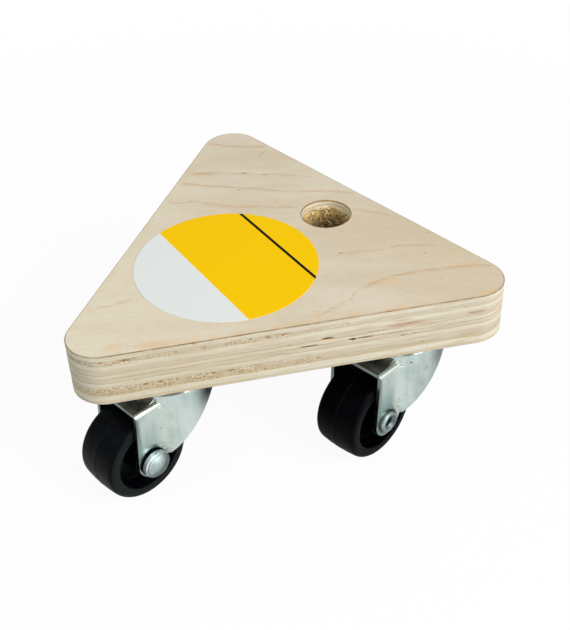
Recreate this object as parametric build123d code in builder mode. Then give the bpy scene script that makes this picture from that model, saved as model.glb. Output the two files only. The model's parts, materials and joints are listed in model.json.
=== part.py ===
"""Triangular furniture dolly: a plywood deck on three swivel casters.

Millimetres and degrees. The origin is on the floor under the middle of the dolly's box, which takes in
the front wheels' reach past the deck. +X runs along the front side, +Y to the rear corner and +Z up.
"""

import math
import os

from build123d import *

# Deck: an equilateral board with rounded corners and one hole to carry or hang it by
deck_side = 130.0
deck_corner_radius = 10.0
deck_thickness = 17.5
deck_edge_round = 0.5
grip_hole_diameter = 16.0
grip_hole_edge_distance = 16.6
grip_hole_angle = 30.0

# Label: a thin disc stuck on the deck, placed from the middle of the triangle
label_diameter = 56.5
label_thickness = 0.15
label_offset = 16.1
label_angle = 206.0

# Casters: where each is screwed on, from the middle of the triangle, the way it trails, and its rivet's turn
caster_corner_angles = {"front_left": 210.0, "front_right": 330.7, "rear": 90.0}
swivel_reaches = {"front_left": 41.8, "front_right": 42.4, "rear": 42.1}
caster_heading_angles = {"front_left": 211.8, "front_right": 214.5, "rear": 213.0}
rivet_turn_angles = {"front_left": 0.0, "front_right": 180.0, "rear": 180.0}

# Wheel: moulded in one piece, behind the swivel axis by the trail
trail = 16.8
wheel_diameter = 30.2
tread_width = 15.6
tread_crown = 0.6
tread_round = 1.6
rim_thickness = 4.2
rim_edge_round = 0.5
web_thickness = 4.0
hub_wall = 3.0
hub_side_gap = 0.3

# Axle rivet: a domed head on one side, a rolled end round a bore on the other
axle_diameter = 5.0
axle_clearance = 0.08
rivet_seat_flange = 0.8
rivet_seat_height = 0.8
rivet_head_flange = 2.1
rivet_head_rim = 1.3
rivet_dome_step = 0.2
rivet_dome_height = 2.1
rivet_end_flange = 1.25
rivet_end_height = 1.25
rivet_end_round = 0.5
rivet_bore_diameter = 3.4
rivet_bore_depth = 3.0
rivet_mouth_chamfer = 0.9

# Fork: stamped sheet, with a round head, a lower shelf in front of it and two legs
fork_sheet = 1.2
head_radius = 15.0
head_inside_round = 0.6
head_rim_height = 3.4
shelf_drop = 3.1
shelf_inside_bend = 0.4
shelf_ramp_length = 2.4
shelf_ramp_radius = 3.0
ramp_dip = 0.02
wheel_top_gap = 4.5
tread_side_gap = 0.8
leg_front_lean = 1.9
crease_radius = 4.0
axle_boss_radius = 5.3
axle_pad_margin = 0.12
rear_edge_angle = 51.0
rear_edge_inset = 0.3
toe_round = 1.0

# Swivel bearing: two rings of loose balls in pressed races, held together by a kingpin
ball_diameter = 3.175
ball_pitch = 3.55
race_depth = 0.6
race_clearance = 0.04
race_land = 0.2
cup_sheet = 1.2
cup_lip = 0.8
kingpin_diameter = 6.0
kingpin_head_flange = 1.0
kingpin_head_height = 1.5
kingpin_head_chamfer = 0.5
kingpin_clearance = 0.08

# Mounting plate: pressed sheet with a dished centre, set with a diagonal along the corner's median
plate_turn_angle = 45.0
plate_sheet = 1.5
plate_corner_radius = 4.0
dish_depth = 1.7
dish_wall_angle = 70.0

# Wood screws that hold a plate
screw_diameter = 3.0
screw_hole_clearance = 0.3
screw_head_diameter = 5.6
screw_head_height = 1.9
screw_head_chamfer = 0.9
screw_head_gap = 0.35
screw_edge_distance = 4.0
screw_length = 12.0
screw_tip_length = 2.5
screw_recess_width = 0.8
screw_recess_length = 3.0
screw_recess_depth = 1.0
pilot_clearance = 0.05


# Wheel's tread: a shallow arc across, rounded off at both sides
tread_edge_radius = wheel_diameter / 2 - tread_crown
crown_radius = (tread_width**2 / 4 + tread_crown**2) / (2 * tread_crown)
round_side = tread_width / 2 - tread_round
round_height = wheel_diameter / 2 - crown_radius + math.sqrt((crown_radius - tread_round) ** 2 - round_side**2)


def wheel_overhang(corner, direction, deck_reach):
    """How far a corner's wheel reaches past the deck in a direction, at the heading that it trails."""
    swivel_turn = math.radians(caster_corner_angles[corner] - direction)
    wheel_turn = math.radians(caster_heading_angles[corner] - direction)
    axle_place = swivel_reaches[corner] * math.cos(swivel_turn) + trail * math.cos(wheel_turn)
    tread_reach = round_height * abs(math.cos(wheel_turn)) + round_side * abs(math.sin(wheel_turn)) + tread_round
    return max(0, axle_place + tread_reach - deck_reach)


# Plan of the deck, from the middle of the triangle
corner_reach = (deck_side - 2 * deck_corner_radius) / math.sqrt(3)
deck_inner_radius = corner_reach / 2 + deck_corner_radius
deck_outer_radius = corner_reach + deck_corner_radius

# Place of that middle in the dolly's box, which the front wheels widen to the front and to the left
front_angle = 270.0
left_angle = 180.0
front_overhang = max(
    wheel_overhang(corner, front_angle, deck_inner_radius) for corner in ("front_left", "front_right")
)
left_overhang = wheel_overhang("front_left", left_angle, deck_side / 2)
middle = Vector(left_overhang / 2, (deck_inner_radius + front_overhang - deck_outer_radius) / 2)

# Levels, from the floor up through wheel, fork and swivel bearing to the deck
ball_radius = ball_diameter / 2
axle_height = wheel_diameter / 2
shelf_top = wheel_diameter + wheel_top_gap + fork_sheet
head_top = shelf_top + shelf_drop
head_bottom = head_top - fork_sheet
rim_bottom = head_top - head_rim_height
lower_ball_height = head_bottom + race_depth - ball_radius
cup_top = lower_ball_height - ball_radius + race_depth
cup_bottom = cup_top - cup_sheet
upper_ball_height = head_top - race_depth + ball_radius
dish_bottom = upper_ball_height + ball_radius - race_depth
dish_top = dish_bottom + plate_sheet
caster_height = dish_top + dish_depth
plate_bottom = caster_height - plate_sheet
deck_top = caster_height + deck_thickness

# Widths across the axle, from the wheel out to the rivet's heads
leg_gap = tread_width + 2 * tread_side_gap
leg_half = leg_gap / 2 + fork_sheet
leg_front = trail + axle_boss_radius
rear_edge_distance = axle_boss_radius - rear_edge_inset
ramp_foot = head_radius + shelf_ramp_length
ramp_height = shelf_drop - head_inside_round - fork_sheet
hub_length = leg_gap - 2 * hub_side_gap
hub_radius = axle_diameter / 2 + hub_wall
rivet_seat_radius = axle_diameter / 2 + rivet_seat_flange
rivet_head_radius = axle_diameter / 2 + rivet_head_flange
rivet_dome_radius = rivet_head_radius - rivet_dome_step
rivet_end_radius = axle_diameter / 2 + rivet_end_flange
axle_pad_radius = max(rivet_seat_radius, rivet_end_radius) + axle_pad_margin


def bulge_half_width(sheet):
    """Half the width of the sheet pressed out behind a race, where it leaves the sheet's back."""
    bulge_radius = ball_radius + race_clearance + sheet
    return math.sqrt(bulge_radius**2 - (ball_radius - race_depth + sheet) ** 2)


# Radii of the swivel bearing, from the kingpin out to the plate's screws
kingpin_head_radius = kingpin_diameter / 2 + kingpin_head_flange
lower_race_radius = kingpin_head_radius + race_land + bulge_half_width(cup_sheet)
cup_radius = lower_race_radius + bulge_half_width(cup_sheet) + cup_lip
upper_race_radius = lower_race_radius + 2 * bulge_half_width(fork_sheet) + race_land
dish_floor_radius = upper_race_radius + bulge_half_width(plate_sheet) + race_land
dish_mouth_radius = dish_floor_radius + dish_depth / math.tan(math.radians(dish_wall_angle))
dish_wall_shift = plate_sheet * math.tan(math.radians(dish_wall_angle / 2))
screw_reach = dish_mouth_radius + dish_wall_shift + screw_head_gap + screw_head_diameter / 2
screw_spacing = math.sqrt(2) * screw_reach
plate_size = screw_spacing + 2 * screw_edge_distance


def from_middle(reach, angle):
    """Point of the plan at a distance and direction from the middle of the triangle."""
    return middle + Vector(reach, 0).rotate(Axis.Z, angle)


def plate_location(corner):
    """Place of a corner's swivel axis, turned square to its mounting plate."""
    angle = caster_corner_angles[corner]
    return Location(from_middle(swivel_reaches[corner], angle), (0, 0, angle + plate_turn_angle))


# Deck: the triangle between the corners' centres of rounding, grown by the corner radius
with BuildPart() as deck:
    with BuildSketch(Plane.XY.offset(caster_height)):
        with Locations(middle):
            RegularPolygon(radius=corner_reach, side_count=3, rotation=90)
        offset(amount=deck_corner_radius)
    extrude(amount=deck_thickness)
    fillet(deck.faces().filter_by(Axis.Z).edges(), radius=deck_edge_round)
    with BuildSketch(Plane.XY.offset(caster_height)):
        with Locations(from_middle(deck_inner_radius - grip_hole_edge_distance, grip_hole_angle)):
            Circle(grip_hole_diameter / 2)
    extrude(amount=deck_thickness, mode=Mode.SUBTRACT)
    with BuildSketch(Plane.XY.offset(caster_height)):
        with Locations([plate_location(corner) for corner in caster_corner_angles]):
            with GridLocations(screw_spacing, screw_spacing, 2, 2):
                Circle(screw_diameter / 2 + pilot_clearance)
    extrude(amount=screw_length - plate_sheet, mode=Mode.SUBTRACT)

with BuildPart() as label:
    with BuildSketch(Plane.XY.offset(deck_top)):
        with Locations(from_middle(label_offset, label_angle)):
            Circle(label_diameter / 2)
    extrude(amount=label_thickness)


# One caster follows, modelled with the Z axis as its swivel axis and the wheel trailing along +X


def race_bulge(ring_radius, ball_height, sheet, face_height, above):
    """Section of the sheet that stands out behind a race, on one side of the sheet's own face."""
    bulge_radius = ball_radius + race_clearance + sheet
    with BuildSketch(Plane.XZ) as section:
        with Locations((ring_radius, ball_height)):
            Circle(bulge_radius)
        with Locations((ring_radius, face_height)):
            side = Align.MIN if above else Align.MAX
            Rectangle(
                2 * bulge_radius, 2 * bulge_radius, align=(Align.CENTER, side), mode=Mode.INTERSECT
            )
    return section.sketch


def race_groove(ring_radius, ball_height):
    """Section of the groove that a ring of balls runs in."""
    with BuildSketch(Plane.XZ) as section:
        with Locations((ring_radius, ball_height)):
            Circle(ball_radius + race_clearance)
    return section.sketch


def ball_ring(ring_radius, ball_height):
    """Loose balls, evenly spaced round a race."""
    count = int(2 * math.pi * ring_radius / ball_pitch)
    with BuildPart() as ring:
        with Locations((0, 0, ball_height)):
            with PolarLocations(ring_radius, count):
                Sphere(ball_radius)
    return ring


upper_balls = ball_ring(upper_race_radius, upper_ball_height)
lower_balls = ball_ring(lower_race_radius, lower_ball_height)

# Mounting plate: square sheet, pressed down in the middle, with the upper race under its dish
with BuildPart() as plate:
    with BuildSketch(Plane.XY.offset(plate_bottom)):
        RectangleRounded(plate_size, plate_size, plate_corner_radius)
        Circle(dish_mouth_radius, mode=Mode.SUBTRACT)
        with GridLocations(screw_spacing, screw_spacing, 2, 2):
            Circle(screw_diameter / 2 + screw_hole_clearance, mode=Mode.SUBTRACT)
    extrude(amount=plate_sheet)
    with BuildSketch(Plane.XZ):
        Polygon(
            (0, dish_top),
            (dish_floor_radius, dish_top),
            (dish_mouth_radius, caster_height),
            (dish_mouth_radius + dish_wall_shift, plate_bottom),
            (dish_floor_radius + dish_wall_shift, dish_bottom),
            (0, dish_bottom),
            align=None,
        )
    revolve(axis=Axis.Z)
    add(race_bulge(upper_race_radius, upper_ball_height, plate_sheet, dish_bottom, above=True))
    revolve(axis=Axis.Z)
    add(race_groove(upper_race_radius, upper_ball_height))
    revolve(axis=Axis.Z, mode=Mode.SUBTRACT)
    with BuildSketch(Plane.XY.offset(dish_bottom)):
        Circle(kingpin_diameter / 2)
    extrude(amount=plate_sheet, mode=Mode.SUBTRACT)

# Screw: pan head with a cross recess, plain shank and a point, driven up from below
screw_head_bottom = plate_bottom - screw_head_height
with BuildPart() as screw:
    with BuildSketch(Plane.XZ):
        Polygon(
            (0, screw_head_bottom),
            (screw_head_diameter / 2 - screw_head_chamfer, screw_head_bottom),
            (screw_head_diameter / 2, screw_head_bottom + screw_head_chamfer),
            (screw_head_diameter / 2, plate_bottom),
            (screw_diameter / 2, plate_bottom),
            (screw_diameter / 2, plate_bottom + screw_length - screw_tip_length),
            (0, plate_bottom + screw_length),
            align=None,
        )
    revolve(axis=Axis.Z)
    with BuildSketch(Plane.XY.offset(screw_head_bottom)):
        Rectangle(screw_recess_length, screw_recess_width)
        Rectangle(screw_recess_width, screw_recess_length)
    extrude(amount=screw_recess_depth, mode=Mode.SUBTRACT)

with BuildPart() as screws:
    with GridLocations(screw_spacing, screw_spacing, 2, 2):
        add(screw.part)

# Swivel cup: the lower race, riveted under the fork's head
with BuildPart() as cup:
    with BuildSketch(Plane.XY.offset(cup_bottom)):
        Circle(cup_radius)
    extrude(amount=cup_sheet)
    add(race_bulge(lower_race_radius, lower_ball_height, cup_sheet, cup_top, above=False))
    revolve(axis=Axis.Z)
    add(race_groove(lower_race_radius, lower_ball_height))
    revolve(axis=Axis.Z, mode=Mode.SUBTRACT)
    with BuildSketch(Plane.XY.offset(cup_bottom)):
        Circle(kingpin_diameter / 2)
    extrude(amount=cup_sheet, mode=Mode.SUBTRACT)

# Kingpin: a rivet with one head in the plate's dish and the other under the cup
with BuildPart() as kingpin:
    with BuildSketch(Plane.XY.offset(cup_bottom)):
        Circle(kingpin_diameter / 2)
    extrude(amount=dish_top - cup_bottom)
    with BuildSketch(Plane.XY.offset(dish_top), Plane.XY.offset(cup_bottom - kingpin_head_height)):
        Circle(kingpin_head_radius)
    extrude(amount=kingpin_head_height)
    rims = kingpin.edges().filter_by(GeomType.CIRCLE).sort_by(Axis.Z)
    chamfer([rims[0], rims[-1]], length=kingpin_head_chamfer)


axle_point = Vector(trail, axle_height)


def fork_form(inset, overrun):
    """Closed form of the fork, with its faces moved in by the inset and its front out by the overrun."""
    half_width = leg_half - inset
    length = leg_front + overrun
    bend = shelf_inside_bend + fork_sheet
    with BuildPart() as form:
        # Walls: the round head runs into the legs along a soft crease
        with BuildSketch() as keyhole:
            Circle(head_radius - inset)
            Rectangle(length, 2 * half_width, align=(Align.MIN, Align.CENTER))
            fillet(keyhole.vertices().group_by(Axis.X)[0], radius=crease_radius + inset)
        extrude(amount=shelf_top - bend)
        with BuildSketch(Plane.XZ) as head:
            Rectangle(head_radius - inset, head_top - inset, align=(Align.MIN, Align.MIN))
            outer_corner = head.vertices().group_by(Axis.Y)[-1].sort_by(Axis.X)[-1]
            fillet(outer_corner, radius=head_inside_round + fork_sheet - inset)
        revolve(axis=Axis.Z)
        # Pads: the walls are pressed flat round the axle, so that the rivet seats on the legs
        with BuildSketch(Plane.XZ):
            with Locations(axle_point):
                Circle(axle_pad_radius + inset)
        extrude(amount=head_radius, both=True, mode=Mode.SUBTRACT)
        # Legs and the shelf between them, bent from one strip
        with BuildSketch(Plane.YZ) as channel:
            Rectangle(2 * half_width, shelf_top - inset, align=(Align.CENTER, Align.MIN))
            fillet(channel.vertices().group_by(Axis.Y)[-1], radius=bend - inset)
        extrude(amount=length)
        # Ramp: the shelf rises to the head in a soft bend, over the width in which it is flat
        with BuildPart(mode=Mode.PRIVATE) as ramp:
            with BuildSketch(Plane.XZ):
                with Locations((ramp_foot, shelf_top - bend)):
                    ramp_size = (shelf_ramp_length + fork_sheet + inset, bend + ramp_height)
                    Rectangle(*ramp_size, align=(Align.MAX, Align.MIN))
                with Locations((ramp_foot, shelf_top + shelf_ramp_radius - ramp_dip)):
                    Circle(shelf_ramp_radius + inset, mode=Mode.SUBTRACT)
            revolve(axis=Axis.Z)
            with BuildSketch():
                Rectangle(length, 2 * (leg_half - bend - inset), align=(Align.MIN, Align.CENTER))
            extrude(amount=head_top, mode=Mode.INTERSECT)
        add(ramp.part)
    return form.part


# Fork: the sheet between two such forms, trimmed to the outline that it has from the side
fork_outside = fork_form(inset=0, overrun=0)
fork_inside = fork_form(inset=fork_sheet, overrun=fork_sheet)
rear_edge_run = Vector(-1, 0).rotate(Axis.Z, -rear_edge_angle)
rear_edge_foot = axle_point + rear_edge_run.rotate(Axis.Z, 90) * rear_edge_distance
rear_edge_top = rear_edge_foot + rear_edge_run * ((rim_bottom - rear_edge_foot.Y) / rear_edge_run.Y)
rear_edge_bottom = rear_edge_foot - rear_edge_run * axle_height
toe = rear_edge_foot - rear_edge_run * math.sqrt(axle_boss_radius**2 - rear_edge_distance**2)
with BuildPart() as fork:
    add(fork_outside)
    add(fork_inside, mode=Mode.SUBTRACT)
    with BuildSketch(Plane.XZ) as leg_outline:
        Polygon(
            (-2 * head_radius, axle_height),
            (-2 * head_radius, caster_height),
            (leg_front - leg_front_lean, caster_height),
            (leg_front, axle_height),
            align=None,
        )
        with Locations(axle_point):
            Circle(axle_boss_radius)
        Polygon(
            (-2 * head_radius, rim_bottom),
            rear_edge_top,
            rear_edge_bottom,
            (-2 * head_radius, rear_edge_bottom.Y),
            align=None,
            mode=Mode.SUBTRACT,
        )
        fillet(leg_outline.vertices().sort_by_distance(toe)[0], radius=toe_round)
    extrude(amount=2 * head_radius, both=True, mode=Mode.INTERSECT)
    add(race_bulge(upper_race_radius, upper_ball_height, fork_sheet, head_top, above=False))
    revolve(axis=Axis.Z)
    add(race_bulge(lower_race_radius, lower_ball_height, fork_sheet, head_bottom, above=True))
    revolve(axis=Axis.Z)
    add(race_groove(upper_race_radius, upper_ball_height))
    revolve(axis=Axis.Z, mode=Mode.SUBTRACT)
    add(race_groove(lower_race_radius, lower_ball_height))
    revolve(axis=Axis.Z, mode=Mode.SUBTRACT)
    with BuildSketch(Plane.XY.offset(cup_top)):
        Circle(kingpin_diameter / 2 + kingpin_clearance)
    extrude(amount=dish_bottom - cup_top, mode=Mode.SUBTRACT)
    with BuildSketch(Plane.XZ):
        with Locations(axle_point):
            Circle(axle_diameter / 2)
    extrude(amount=2 * head_radius, both=True, mode=Mode.SUBTRACT)

# Wheel and rivet are modelled over the axle's own middle, with the axle along Y
axle_line = Axis((0, 0, axle_height), (0, 1, 0))
axle_section = Plane(origin=(0, 0, axle_height), x_dir=(0, 1, 0), z_dir=(1, 0, 0))

# Wheel: moulded in one piece, with a crowned tread, a web and a hub that fills the gap of the legs
rim_inside = wheel_diameter / 2 - rim_thickness
tread_edges = [(tread_width / 2, tread_edge_radius), (-tread_width / 2, tread_edge_radius)]
rim_corners = [(-tread_width / 2, rim_inside), (tread_width / 2, rim_inside)]
with BuildPart() as wheel:
    with BuildSketch(axle_section) as wheel_half:
        with BuildLine():
            ThreePointArc(tread_edges[0], (0, wheel_diameter / 2), tread_edges[1])
            Polyline(tread_edges[1], *rim_corners, tread_edges[0])
        make_face()
        fillet(wheel_half.vertices().group_by(Axis.Y)[-1], radius=tread_round)
        fillet(wheel_half.vertices().group_by(Axis.Y)[0], radius=rim_edge_round)
        Rectangle(web_thickness, rim_inside + rim_edge_round, align=(Align.CENTER, Align.MIN))
        Rectangle(hub_length, hub_radius, align=(Align.CENTER, Align.MIN))
        bore = axle_diameter / 2 + axle_clearance
        Rectangle(hub_length, bore, align=(Align.CENTER, Align.MIN), mode=Mode.SUBTRACT)
    revolve(axis=axle_line)

# Axle rivet: a domed head that stands off on its seat, and an end rolled out round its bore
rivet_end = -leg_half - rivet_end_height
head_back = leg_half + rivet_seat_height
head_front = head_back + rivet_head_rim
dome_foot = (head_front, rivet_dome_radius)
dome_top = (head_front + rivet_dome_height, 0)
with BuildPart() as rivet:
    with BuildSketch(axle_section):
        with BuildLine():
            Polyline(
                dome_top,
                (rivet_end, 0),
                (rivet_end, rivet_end_radius),
                (-leg_half, rivet_end_radius),
                (-leg_half, axle_diameter / 2),
                (leg_half, axle_diameter / 2),
                (leg_half, rivet_seat_radius),
                (head_back, rivet_seat_radius),
                (head_back, rivet_head_radius),
                (head_front, rivet_head_radius),
                dome_foot,
            )
            TangentArc(dome_top, dome_foot, tangent=(0, 1))
        make_face()
    revolve(axis=axle_line)
    rolled_rim = rivet.edges().filter_by(GeomType.CIRCLE).sort_by(Axis.Y)[0]
    fillet(rolled_rim, radius=rivet_end_round)
    with BuildSketch(Plane.XZ.offset(-rivet_end)):
        with Locations((0, axle_height)):
            Circle(rivet_bore_diameter / 2)
    extrude(amount=-rivet_bore_depth, mode=Mode.SUBTRACT)
    mouth_edge = rivet.edges().filter_by(GeomType.CIRCLE).group_by(Axis.Y)[0].sort_by(SortBy.RADIUS)[0]
    chamfer(mouth_edge, length=rivet_mouth_chamfer)


os.makedirs("parts", exist_ok=True)


def write_piece(piece, name, place=Location()):
    """Writes one piece of the dolly at its place, under its own name."""
    with BuildPart() as placed:
        with Locations(place):
            add(piece.part)
    placed.part.label = name
    export_step(placed.part, f"parts/{name}.step")


write_piece(deck, "plywood_deck")
write_piece(label, "round_label")
for corner in caster_corner_angles:
    on_plate = plate_location(corner)
    on_fork = Location(on_plate.position, (0, 0, caster_heading_angles[corner]))
    on_axle = on_fork * Location((trail, 0, 0))
    write_piece(plate, f"{corner}_mounting_plate", on_plate)
    write_piece(screws, f"{corner}_plate_screws", on_plate)
    write_piece(kingpin, f"{corner}_kingpin", on_plate)
    write_piece(cup, f"{corner}_swivel_cup", on_plate)
    write_piece(upper_balls, f"{corner}_upper_balls", on_plate)
    write_piece(lower_balls, f"{corner}_lower_balls", on_plate)
    write_piece(fork, f"{corner}_fork", on_fork)
    write_piece(wheel, f"{corner}_wheel", on_axle)
    rivet_turn = Location((0, 0, 0), (0, 0, rivet_turn_angles[corner]))
    write_piece(rivet, f"{corner}_axle_rivet", on_axle * rivet_turn)
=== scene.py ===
import json
import math
import random

import bmesh
import bpy
from mathutils import Matrix, Vector, noise
from mathutils.geometry import closest_point_on_tri


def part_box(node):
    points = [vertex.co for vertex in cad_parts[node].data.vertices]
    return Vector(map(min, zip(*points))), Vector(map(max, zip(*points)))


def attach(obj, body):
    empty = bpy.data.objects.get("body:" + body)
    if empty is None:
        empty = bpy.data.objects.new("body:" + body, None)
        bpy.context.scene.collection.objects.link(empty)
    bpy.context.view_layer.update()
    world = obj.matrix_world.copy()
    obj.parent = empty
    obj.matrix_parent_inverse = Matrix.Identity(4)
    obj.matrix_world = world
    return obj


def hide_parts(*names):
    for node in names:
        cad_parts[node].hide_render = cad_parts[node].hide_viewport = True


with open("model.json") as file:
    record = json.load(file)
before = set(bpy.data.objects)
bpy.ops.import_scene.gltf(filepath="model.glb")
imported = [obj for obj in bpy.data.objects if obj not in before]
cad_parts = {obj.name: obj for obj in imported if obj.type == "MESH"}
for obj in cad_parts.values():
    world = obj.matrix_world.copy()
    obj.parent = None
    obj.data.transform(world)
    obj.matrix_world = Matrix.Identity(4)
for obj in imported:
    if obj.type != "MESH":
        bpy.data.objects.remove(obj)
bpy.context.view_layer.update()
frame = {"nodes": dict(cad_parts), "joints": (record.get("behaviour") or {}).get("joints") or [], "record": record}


# Deck: a triangular board of birch plywood with rounded corners and one round hole.
# It is routed from a glued sheet, so the edge shows every ply, with end grain and small open voids,
# and the cutter leaves a thin burnt line round the top face.
MM = 0.001


class Finish:
    """One procedural material: its shader, and short ways to add the nodes that feed it."""

    def __init__(self, name):
        self.material = bpy.data.materials.new(name)
        self.material.use_nodes = True
        self.tree = self.material.node_tree
        self.shader = self.tree.nodes["Principled BSDF"]
        self.place = self.node("TexCoord").outputs["Object"]

    def node(self, kind, inputs=(), **settings):
        """A node of one kind, with its settings, and its inputs as a dict of sockets or plain values."""
        made = self.tree.nodes.new("ShaderNode" + kind)
        for key, value in settings.items():
            setattr(made, key, value)
        for key, value in dict(inputs).items():
            self.feed(made.inputs[key], value)
        return made

    def feed(self, socket, value):
        """Links a node's output to an input, or sets the input's own value."""
        if isinstance(value, bpy.types.NodeSocket):
            self.tree.links.new(value, socket)
        else:
            socket.default_value = value

    def set(self, **inputs):
        """Feeds the shader: base_color goes to Base Color, and so on."""
        for key, value in inputs.items():
            self.feed(self.shader.inputs[key.replace("_", " ").title().replace("Ior", "IOR")], value)

    def millimetres(self, turn=0.0, centre=(0.0, 0.0, 0.0), stretch=(1.0, 1.0, 1.0)):
        """The place on the piece in millimetres from a centre, turned about Z and stretched by axis."""
        moved = self.node("VectorMath", {0: self.place, 1: tuple(centre)}, operation="SUBTRACT").outputs[0]
        scale = tuple(1 / (MM * part) for part in stretch)
        turned = self.node("Mapping", {"Vector": moved, "Rotation": (0, 0, math.radians(turn))}).outputs[0]
        return self.node("VectorMath", {0: turned, 1: scale}, operation="MULTIPLY").outputs[0]

    def axis(self, vector, letter):
        """One coordinate of a vector."""
        return self.node("SeparateXYZ", {0: vector}).outputs[letter]

    def length(self, vector):
        """A vector's length."""
        return self.node("VectorMath", {0: vector}, operation="LENGTH").outputs["Value"]

    def towards(self, vector, direction):
        """How far a vector reaches in a direction."""
        return self.node("VectorMath", {0: vector, 1: direction}, operation="DOT_PRODUCT").outputs["Value"]

    def oval(self, centre, half_sizes, turn=0.0):
        """How far out of an oval patch a place lies: 0 at the patch's centre and 1 on its edge."""
        return self.length(self.millimetres(turn=turn, centre=centre, stretch=half_sizes))

    def attribute(self, name):
        """A value that the mesh carries at its own points."""
        return self.node("Attribute", attribute_name=name).outputs["Fac"]

    def noise(self, vector, size, detail=2.0, rough=0.5):
        """A cloud of the given size in the vector's own unit, from 0 to 1."""
        inputs = {"Vector": vector, "Scale": 1 / size, "Detail": detail, "Roughness": rough}
        return self.node("TexNoise", inputs).outputs["Fac"]

    def maths(self, operation, first, second=0.0, third=0.0):
        """One step of arithmetic."""
        return self.node("Math", {0: first, 1: second, 2: third}, operation=operation).outputs[0]

    def times(self, first, *others):
        """Two or more values multiplied."""
        for other in others:
            first = self.maths("MULTIPLY", first, other)
        return first

    def shaken(self, value, cloud, spread):
        """A value that a cloud shifts up and down, by the spread in all."""
        return self.maths("ADD", value, self.maths("MULTIPLY_ADD", cloud, spread, -spread / 2))

    def ease(self, value, start, end, low=0.0, high=1.0):
        """A smooth rise from low at start to high at end."""
        inputs = {"Value": value, "From Min": start, "From Max": end, "To Min": low, "To Max": high}
        return self.node("MapRange", inputs, interpolation_type="SMOOTHSTEP").outputs[0]

    def band(self, value, rise_start, rise_end, fall_start, fall_end):
        """1 within a band of values and 0 outside it, with soft ends."""
        rise = self.ease(value, rise_start, rise_end)
        return self.times(rise, self.ease(value, fall_start, fall_end, 1.0, 0.0))

    def mix(self, factor, first, second):
        """Two colours mixed by a factor."""
        return self.node("MixRGB", {"Fac": factor, "Color1": first, "Color2": second}).outputs[0]

    def ramp(self, value, stops):
        """A colour ramp from a list of places and colours."""
        made = self.node("ValToRGB", {0: value})
        elements = made.color_ramp.elements
        while len(elements) < len(stops):
            elements.new(0.5)
        for element, (place, colour) in zip(elements, stops):
            element.position = place
            element.color = colour
        return made.outputs[0]

    def bump(self, height, depth, edge=0.0):
        """Fine relief of a depth in millimetres on the shader's normal, and a soft line on sharp edges."""
        made = self.node("Bump", {"Height": height, "Distance": depth * MM, "Strength": 1.0})
        if edge:
            self.feed(made.inputs["Normal"], self.node("Bevel", {"Radius": edge * MM}, samples=6).outputs[0])
        self.feed(self.shader.inputs["Normal"], made.outputs[0])


def srgb(red, green, blue):
    """A colour from the 0 to 255 values that a screen shows."""
    parts = [value / 255 for value in (red, green, blue)]
    return tuple(v / 12.92 if v <= 0.04045 else ((v + 0.055) / 1.055) ** 2.4 for v in parts) + (1.0,)


def add_piece(name, mesh, finishes, body, slot, *nodes):
    """Makes a bmesh one piece of the dolly, on a body, with its finishes, and in place of CAD nodes."""
    data = bpy.data.meshes.new(name)
    mesh.to_mesh(data)
    mesh.free()
    piece = bpy.data.objects.new(name, data)
    bpy.context.scene.collection.objects.link(piece)
    for finish in finishes:
        data.materials.append(finish.material)
    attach(piece, body)
    if nodes:
        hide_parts(*nodes)


deck_low, deck_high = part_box("plywood_deck")
deck_middle = (deck_low + deck_high) / 2
deck_thickness = (deck_high.z - deck_low.z) / MM
corner_radius = 10 * MM
corner_turn = math.radians(120)
corner_start_angles = (150, 270, 30)
front_y = deck_low.y + corner_radius
corner_centres = [
    Vector((deck_low.x + corner_radius, front_y, 0)),
    Vector((deck_high.x - corner_radius, front_y, 0)),
    Vector((deck_middle.x, deck_high.y - corner_radius, 0)),
]
grip_hole = next(mount for mount in frame["record"]["mounts"] if mount["name"] == "grip_hole")
hole_radius = grip_hole["dims"]["r_mm"] * MM
hole_centre = Vector((*grip_hole["pos_m"][:2], 0))
hole_segments = 120
column_width = 0.5 * MM
row_count = 80
face_ring_widths = (0.6, 0.9, 2.5)
level_slack = 0.1 * MM
outline_slack = 0.01 * MM
deck_mesh = bmesh.new()

arc_starts, arc_ends = [], []
for centre, start_angle in zip(corner_centres, corner_start_angles):
    arm = Vector((corner_radius, 0, 0))
    arm.rotate(Matrix.Rotation(math.radians(start_angle), 3, "Z"))
    arc_starts.append(deck_mesh.verts.new(centre + arm + Vector((0, 0, deck_low.z))))
    turned = bmesh.ops.spin(
        deck_mesh, geom=[arc_starts[-1]], cent=centre, axis=(0, 0, 1), angle=corner_turn,
        steps=round(corner_radius * corner_turn / column_width),
    )
    arc_ends.append(next(item for item in turned["geom_last"] if isinstance(item, bmesh.types.BMVert)))
sides = [deck_mesh.edges.new((arc_ends[i], arc_starts[(i + 1) % 3])) for i in range(3)]
side_length = (corner_centres[1] - corner_centres[0]).length
bmesh.ops.subdivide_edges(deck_mesh, edges=sides, cuts=round(side_length / column_width) - 1)
bmesh.ops.create_circle(
    deck_mesh, segments=hole_segments, radius=hole_radius,
    matrix=Matrix.Translation(hole_centre + Vector((0, 0, deck_low.z))),
)
outlines = list(deck_mesh.edges)
wall = bmesh.ops.extrude_edge_only(deck_mesh, edges=outlines)["geom"]
risen = [item for item in wall if isinstance(item, bmesh.types.BMVert)]
bmesh.ops.translate(deck_mesh, verts=risen, vec=(0, 0, deck_high.z - deck_low.z))
uprights = [edge for edge in deck_mesh.edges if abs(edge.verts[0].co.z - edge.verts[1].co.z) > MM]
bmesh.ops.subdivide_edges(deck_mesh, edges=uprights, cuts=row_count - 1)
wall_faces = set(deck_mesh.faces)
rims = [edge for edge in deck_mesh.edges if edge.is_boundary]
for level in (deck_low.z, deck_high.z):
    level_rims = [edge for edge in rims if abs(edge.verts[0].co.z - level) < level_slack]
    bmesh.ops.triangle_fill(deck_mesh, edges=level_rims, use_beauty=True)
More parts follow.
